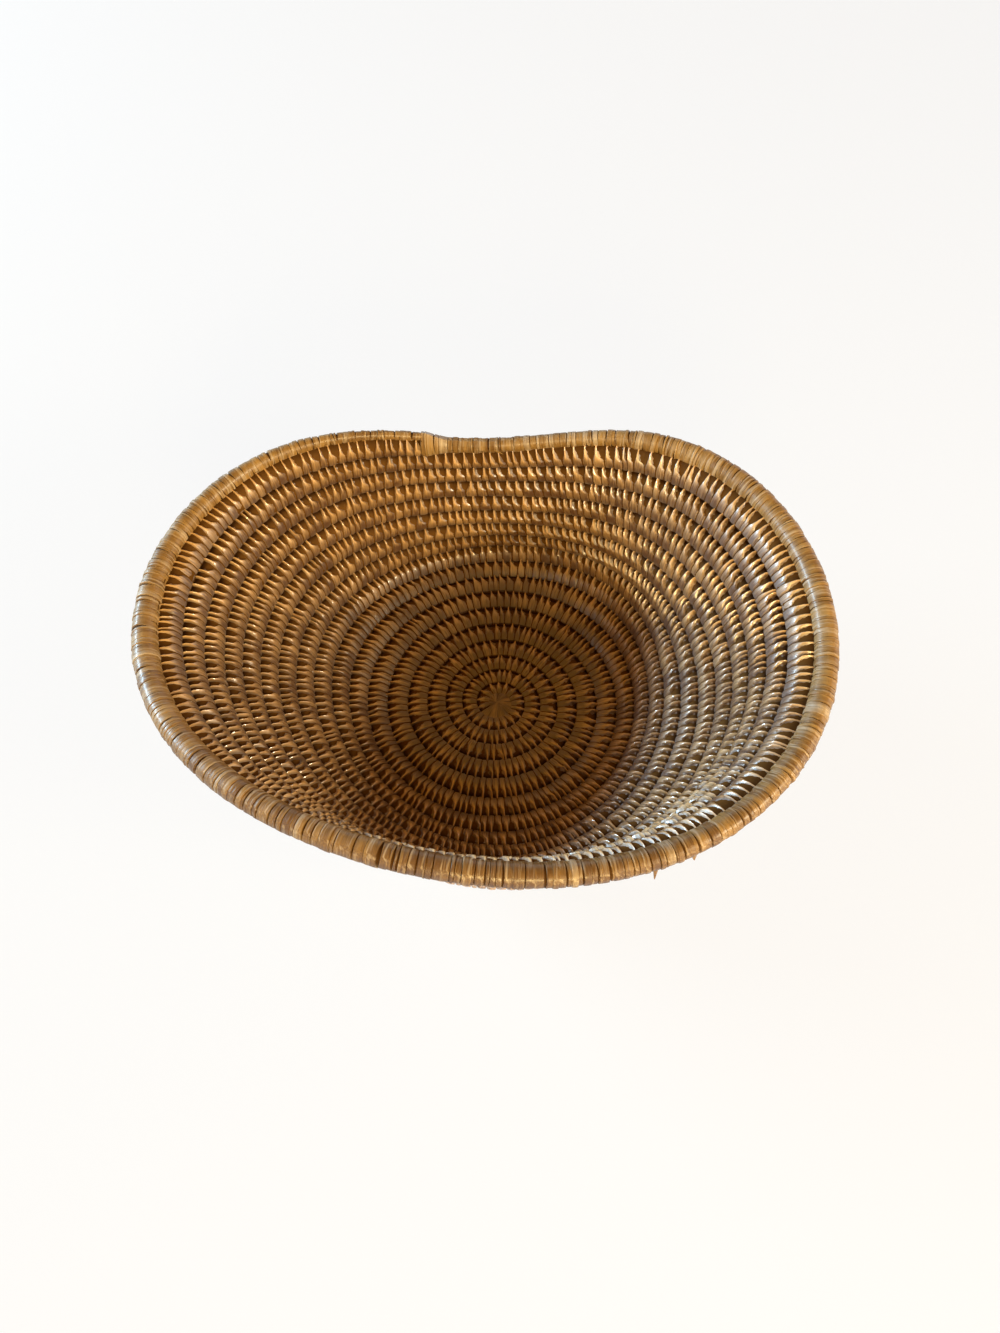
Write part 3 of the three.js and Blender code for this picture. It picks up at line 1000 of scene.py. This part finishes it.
CANE_GLOSS = {"IOR": 1.85, "Specular IOR Level": 1.0, "Coat IOR": 1.8, "Coat Roughness": 0.14}
RIM_GLOSS = {
    "IOR": 1.5,
    "Specular IOR Level": 0.7,
    "Coat Weight": 0.4,
    "Coat IOR": 1.5,
    "Coat Roughness": 0.25,
}

# Strengths of the noises in the split cane
FIBRE_CONTRAST = 1.3
PATCH_SCALE = 70.0
PATCH_CONTRAST = 0.7
TONE_STEP = 0.26
STREAK_START = 0.52
STREAK_SHARPNESS = 7.0
STREAK_PART = 0.7
CANE_ROUGHNESS = 0.48
ROUGHNESS_STEP = 0.3


def cane_finish(name, dark, light, gloss, wear_and_sheen=None):
    """Glossy split cane with fibres along each strip, with painted shade between the strips."""
    finish = Nodes(bpy.data.materials.new(name))
    across = finish.attribute("fibre_u")
    along = finish.attribute("fibre_v")
    fibres = finish.stretched_noise(across * 1.7, along * 0.15, 3.0)
    place = finish.node("ShaderNodeTexCoord", {}, {}, output="Object")
    patches = finish.noise(place, PATCH_SCALE, 2.0)
    depth = finish.attribute("depth")
    tone = 0.5 + (fibres - 0.5) * FIBRE_CONTRAST + (patches - 0.5) * PATCH_CONTRAST
    # Tone: random scatter, with painted highlight on the stitches' ridges, painted shade on their low side
    # and in the base, and painted shade at the rim's front
    tone = tone + finish.attribute("tone") * TONE_STEP
    base = finish.mix_colour(finish.clamp(tone), opaque(dark), opaque(light))
    # Pale wraps, partly wear and partly painted sheen, and random pale streaks
    if wear_and_sheen:
        long_noise = finish.stretched_noise(across * 0.8 + along * 0.05, along * 0.04, 2.0)
        streaks = finish.clamp((long_noise - STREAK_START) * STREAK_SHARPNESS) * STREAK_PART
        pale = finish.attribute("wear_and_sheen") * finish.clamp(fibres * 1.5)
        base = finish.mix_colour(finish.clamp(pale + streaks), base, opaque(wear_and_sheen))
    else:
        gloss = {**gloss, "Coat Weight": finish.attribute("shine")}
    # Painted shade: the depth attribute darkens the cane towards the near-black pocket colour
    base = finish.mix_colour(depth, base, opaque(bpy.context.scene.cane_colours.pocket))
    roughness = CANE_ROUGHNESS + (fibres - 0.5) * ROUGHNESS_STEP + depth * ROUGHNESS_STEP
    normal = finish.bump(fibres, strength=0.8, distance=0.35 * MM)
    return finish.surface(base, roughness, normal, **gloss)


def pocket_finish(colours):
    """The dull packed row that shows in the pockets between the stitches, with painted shade mixed in by
    depth.
    """
    finish = Nodes(bpy.data.materials.new("pocket"))
    across = finish.attribute("fibre_u")
    along = finish.attribute("fibre_v")
    fibres = finish.stretched_noise(across * 2.2, along * 0.3, 3.0)
    part = finish.clamp(finish.attribute("depth") + (fibres - 0.5) * 0.5)
    base = finish.mix_colour(part, opaque(colours.row), opaque(colours.pocket))
    normal = finish.bump(fibres, strength=0.4, distance=0.2 * MM)
    return finish.surface(base, 0.75 + (fibres - 0.5) * 0.2, normal, **{"Specular IOR Level": 0.15})


def core_finish(colours):
    """Dull rod, with a fine grain."""
    finish = Nodes(bpy.data.materials.new("coil_core"))
    place = finish.node("ShaderNodeTexCoord", {}, {}, output="Object")
    grain = finish.noise(place, 900.0, 4.0)
    dark = [part * 0.6 for part in colours.core]
    base = finish.mix_colour(grain, opaque(dark), opaque(colours.core))
    normal = finish.bump(grain, strength=0.3, distance=0.1 * MM)
    return finish.surface(base, 0.7 + (grain - 0.5) * 0.2, normal)


class CANE_OT_binding_strips(bpy.types.Operator):
    """Make the stitched strips that bind the coil from the base to the rim"""

    bl_idname = "cane_bowl.binding_strips"
    bl_label = "Binding strips"

    def execute(self, context):
        scene = context.scene
        path = CoilPath(scene.cane_coil)
        colours = scene.cane_colours
        bound = cane_finish("binding_cane", colours.dark, colours.light, CANE_GLOSS)
        materials = [bound, pocket_finish(colours)]
        last = path.step_count - scene.cane_coil.steps
        runs = path.strip_runs(0, last, len(BINDING_NODES))
        for number, (node, (start, end)) in enumerate(zip(BINDING_NODES, runs)):
            seed = scene.cane_binding.seed + number
            strip = stitched_strip(path, scene.cane_binding, start, end, seed)
            stand_for(strip.joined("bound_" + node, materials), node)
        return {"FINISHED"}


RIM_SEEDS = 100


class CANE_OT_rim_strips(bpy.types.Operator):
    """Make the strips that are wound closely round the rim"""

    bl_idname = "cane_bowl.rim_strips"
    bl_label = "Rim strips"

    def execute(self, context):
        scene = context.scene
        path = CoilPath(scene.cane_coil)
        colours = scene.cane_colours
        wound = cane_finish("rim_cane", colours.rim_dark, colours.rim_light, RIM_GLOSS, colours.wear_and_sheen)
        materials = [wound, pocket_finish(colours)]
        first = path.step_count - scene.cane_coil.steps
        runs = path.strip_runs(first, path.step_count, len(RIM_NODES))
        for number, (node, (start, end)) in enumerate(zip(RIM_NODES, runs)):
            seed = scene.cane_binding.seed + RIM_SEEDS + number
            strip = wrapped_strip(path, scene.cane_binding, start, end, seed)
            stand_for(strip.joined("wrapped_" + node, materials), node)
        return {"FINISHED"}


class CANE_OT_start_button(bpy.types.Operator):
    """Make the button that the coil starts from"""

    bl_idname = "cane_bowl.start_button"
    bl_label = "Start button"

    RINGS = 9
    STEPS = 66
    SPOKES = 11
    THICKNESS = 0.3
    TUCK_SHARE = 0.3
    UNDERSIDE = 1 * MM
    CROWN = 2.2 * MM
    CROWN_DROP = 1.4 * MM
    SPOKE_RISE = 0.5 * MM
    SPOKE_TWIST = 0.8
    GROOVE_PAINTED_SHADE = 0.75
    TONE = -1.3
    TONE_CHANGE = 0.5
    SHINE = 0.2

    def disc_mesh(self):
        """A round plate of rings, one unit in radius."""
        bm = bmesh.new()
        profile = [bm.verts.new((k / self.RINGS, 0, 0)) for k in range(self.RINGS + 1)]
        edges = [bm.edges.new(pair) for pair in zip(profile, profile[1:])]
        spun_round = {"cent": (0, 0, 0), "axis": (0, 0, 1), "angle": math.tau, "steps": self.STEPS}
        bmesh.ops.spin(bm, geom=profile + edges, use_merge=True, **spun_round)
        bmesh.ops.remove_doubles(bm, verts=bm.verts, dist=0.001)
        bmesh.ops.solidify(bm, geom=bm.faces, thickness=self.THICKNESS)
        bmesh.ops.recalc_face_normals(bm, faces=bm.faces)
        mesh = bpy.data.meshes.new("button")
        bm.to_mesh(mesh)
        bm.free()
        return mesh

    def shape_button(self, mesh, path):
        """Uneven spokes on a low crown that reaches under the first turn."""
        x, y, z = vertex_places(mesh).T
        part = np.hypot(x, y)
        around = np.arctan2(y, x)
        first_turn = (path.angle(0) - around) / math.tau % 1
        out = part * (path.girth(first_turn) - self.TUCK_SHARE * path.radius(first_turn))
        uneven = 0.5 * np.sin(2 * around + 1) + 0.35 * np.sin(3 * around)
        spoke = np.abs(np.cos(around * self.SPOKES / 2 + uneven + self.SPOKE_TWIST * part))
        crown = path.plain_radius + self.CROWN - self.CROWN_DROP * part**2
        crown += self.SPOKE_RISE * spoke * smooth_step(0.15, 0.5, part)
        height = np.where(z < z.mean(), self.UNDERSIDE, crown)
        # Painted shade in the grooves between the spokes
        groove = (1 - smooth_step(0, 0.5, spoke)) * smooth_step(0.2, 0.5, part)
        facts = {
            "tone": self.TONE + self.TONE_CHANGE * np.sin(3 * around + 1),
            "shine": np.full_like(out, self.SHINE),
            "depth": self.GROOVE_PAINTED_SHADE * groove,
            "fibre_u": around * self.SPOKES,
            "fibre_v": out / MM,
        }
        shape_mesh(mesh, np.stack([out * np.cos(around), out * np.sin(around), height], axis=-1), facts)

    def execute(self, context):
        colours = context.scene.cane_colours
        mesh = self.disc_mesh()
        self.shape_button(mesh, CoilPath(context.scene.cane_coil))
        bm = bmesh.new()
        bm.from_mesh(mesh)
        bpy.data.meshes.remove(mesh)
        materials = [cane_finish("start_button", colours.dark, colours.light, CANE_GLOSS)]
        stand_for(finished_object("wound_start_button", bm, materials), "start_button")
        return {"FINISHED"}


class CANE_OT_core(bpy.types.Operator):
    """Make the smooth core inside the binding"""

    bl_idname = "cane_bowl.core"
    bl_label = "Core"

    def execute(self, context):
        scene = context.scene
        path = CoilPath(scene.cane_coil)
        core = BoundStrip(path, 0, path.fine_lengths[-1], np.ones(1), RIM_STATIONS)

        def shape_core(mesh):
            run, around = core.rod_places(mesh)
            run = np.minimum(run, path.fine_lengths[-1] - scene.cane_binding.end_bind)
            reach = path.radius(path.turn_at(run)) * scene.cane_binding.core_share
            return run, around, reach, {}

        core.lay(core.rod_mesh(), shape_core)
        materials = [core_finish(scene.cane_colours)]
        stand_for(core.joined("smooth_coil_core", materials), "coil_core")
        return {"FINISHED"}


# Name, place, size, power and colour of each lamp
LAMPS = (
    ("cool_window", (-1.16, 0.38, 0.48), (0.70, 0.15), 20.0, (0.54, 0.80, 1.0)),
    ("warm_front", (0.10, -0.93, 0.46), (0.30, 0.20), 7.2, (1.0, 0.74, 0.30)),
    ("warm_side", (0.80, -0.42, 0.46), (0.30, 0.20), 5.6, (1.0, 0.84, 0.54)),
)
LAMP_AIM = Vector((0, 0, 0.04))
SEEN_RAYS = ("Is Camera Ray", "Is Glossy Ray", "Is Transmission Ray")
FLOOR_WHITE = 0.85
FLOOR_COLOUR = (0.85, 0.85, 0.85)
FLOOR_SIDES = 96


class CANE_OT_stage(bpy.types.Operator):
    """Make the floor, the light and the camera"""

    bl_idname = "cane_bowl.stage"
    bl_label = "Stage"

    def execute(self, context):
        scene = context.scene
        stage = scene.cane_stage
        scene.view_settings.view_transform = "Standard"
        self.make_world(scene, stage)
        self.make_floor(stage)
        self.make_camera(scene, stage)
        for lamp in LAMPS:
            self.make_lamp(scene, *lamp)
        return {"FINISHED"}

    def make_world(self, scene, stage):
        scene.world = bpy.data.worlds.new("studio")
        nodes = Nodes(scene.world)
        light = {"Color": opaque(stage.ambient_colour), "Strength": stage.ambient}
        nodes.node("ShaderNodeOutputWorld", {}, {"Surface": nodes.node("ShaderNodeBackground", {}, light)})

    def make_floor(self, stage):
        """A round floor with a backdrop, nearly white where it is seen, and still with the bowl's shadow."""
        bm = bmesh.new()
        drum = {"segments": FLOOR_SIDES, "radius1": stage.floor_radius, "radius2": stage.floor_radius}
        bmesh.ops.create_cone(bm, cap_ends=True, depth=stage.backdrop_height, **drum)
        bmesh.ops.translate(bm, verts=bm.verts, vec=(0, 0, stage.backdrop_height / 2))
        lid = max(bm.faces, key=lambda face: face.calc_center_median().z)
        bmesh.ops.delete(bm, geom=[lid], context="FACES_ONLY")
        bmesh.ops.reverse_faces(bm, faces=bm.faces)
        finish = Nodes(bpy.data.materials.new("pale_floor"))
        rays = [finish.node("ShaderNodeLightPath", output=name) for name in SEEN_RAYS]
        seen = finish.clamp(sum(rays[1:], rays[0])) * FLOOR_WHITE
        diffuse = finish.node("ShaderNodeBsdfDiffuse", {}, {"Color": opaque(FLOOR_COLOUR)})
        white = finish.node("ShaderNodeEmission", {}, {"Color": (1, 1, 1, 1), "Strength": 1.0})
        shaders = {"Fac": seen, "Shader": diffuse, "Shader_001": white}
        mixed = finish.node("ShaderNodeMixShader", {}, shaders)
        finish.node("ShaderNodeOutputMaterial", {}, {"Surface": mixed})
        finished_object("floor", bm, [finish.owner])

    def make_camera(self, scene, stage):
        data = bpy.data.cameras.new("camera")
        data.sensor_fit = "AUTO"
        data.sensor_width = 36
        data.lens = stage.lens
        data.clip_start = 0.01
        camera = bpy.data.objects.new("camera", data)
        camera.location = stage.camera_place
        camera.rotation_euler = (stage.camera_tilt, 0, 0)
        scene.collection.objects.link(camera)
        scene.camera = camera

    def make_lamp(self, scene, name, place, size, power, shade):
        data = bpy.data.lights.new(name, "AREA")
        data.shape = "RECTANGLE"
        data.size, data.size_y = size
        data.energy = power
        data.color = shade
        lamp = bpy.data.objects.new(name, data)
        lamp.location = place
        lamp.rotation_euler = (LAMP_AIM - Vector(place)).to_track_quat("-Z", "Y").to_euler()
        scene.collection.objects.link(lamp)


class CANE_PT_bowl(bpy.types.Panel):
    """Sizes, colours and steps of the bowl"""

    bl_idname = "CANE_PT_bowl"
    bl_label = "Coiled cane bowl"
    bl_space_type = "VIEW_3D"
    bl_region_type = "UI"
    bl_category = "Cane Bowl"

    def draw(self, context):
        for group in SETTINGS:
            box = self.layout.box()
            settings = getattr(context.scene, group)
            for name in settings.__annotations__:
                box.prop(settings, name)
        for operator in OPERATORS:
            self.layout.operator(operator.bl_idname)


SETTINGS = {
    "cane_coil": CaneCoil,
    "cane_binding": CaneBinding,
    "cane_colours": CaneColours,
    "cane_stage": CaneStage,
}
OPERATORS = (
    CANE_OT_stage,
    CANE_OT_binding_strips,
    CANE_OT_rim_strips,
    CANE_OT_start_button,
    CANE_OT_core,
)


def register():
    for made in (*SETTINGS.values(), *OPERATORS, CANE_PT_bowl):
        bpy.utils.register_class(made)
    for name, group in SETTINGS.items():
        setattr(bpy.types.Scene, name, PointerProperty(type=group))


def unregister():
    for name in SETTINGS:
        delattr(bpy.types.Scene, name)
    for made in (CANE_PT_bowl, *reversed(OPERATORS), *SETTINGS.values()):
        bpy.utils.unregister_class(made)


def main():
    register()
    bpy.ops.cane_bowl.stage()
    bpy.ops.cane_bowl.binding_strips()
    bpy.ops.cane_bowl.rim_strips()
    bpy.ops.cane_bowl.start_button()
    bpy.ops.cane_bowl.core()


if __name__ == "__main__":
    main()
